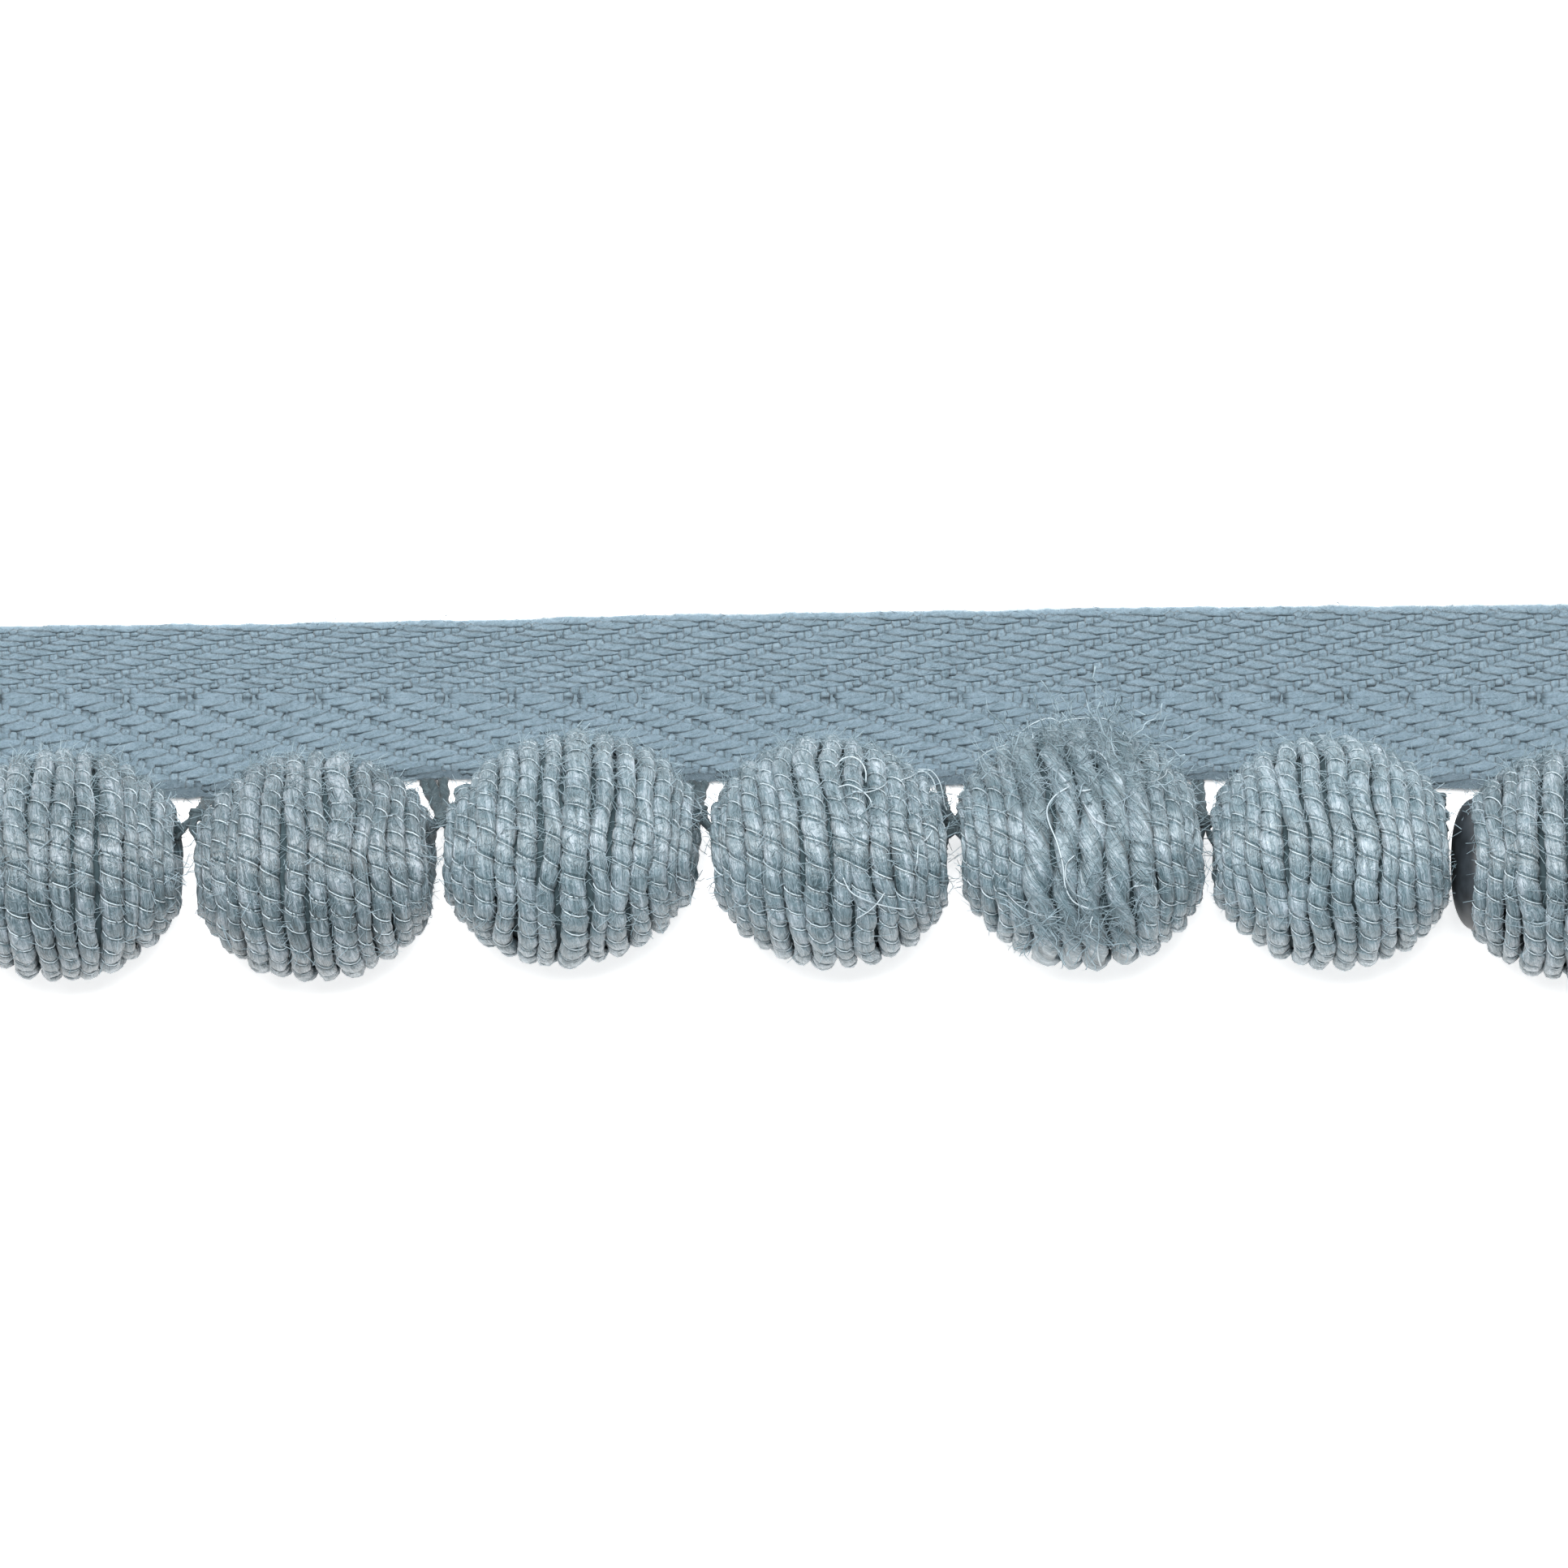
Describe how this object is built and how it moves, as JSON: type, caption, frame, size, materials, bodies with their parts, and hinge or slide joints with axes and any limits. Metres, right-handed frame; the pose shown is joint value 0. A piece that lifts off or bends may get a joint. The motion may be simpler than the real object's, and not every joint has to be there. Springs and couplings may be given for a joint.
{
  "type": "pompom fringe trim",
  "caption": "Sewing trim for edges of curtains and cushions: a herringbone tape with balls of wound cord hung close together along its lower edge.",
  "frame": {"origin": "middle of the tape's back face, where the trim is sewn or glued down", "axes": "+X along the tape, +Y up across the tape away from the balls, +Z out of the tape's front face"},
  "size_m": [0.1856, 0.0397, 0.0251],
  "materials": {
    "tape_cotton": "matt grey-blue herringbone cotton",
    "wound_cord": "silky slubbed fibre cord bound with a fine pale thread",
    "link_thread": "matt twisted thread",
    "core": "dark charcoal, matt"
  },
  "bodies": {
    "root": {"tape": "tape_cotton", "ball_1": "wound_cord", "ball_2": "wound_cord", "ball_3": "wound_cord", "ball_4": "wound_cord", "ball_5": "wound_cord", "ball_6": "wound_cord", "ball_7": "wound_cord", "core_end": "core", "link_1": "link_thread", "link_2": "link_thread", "link_3": "link_thread", "link_4": "link_thread", "link_5": "link_thread", "link_6": "link_thread"}
  },
  "joints": []
}
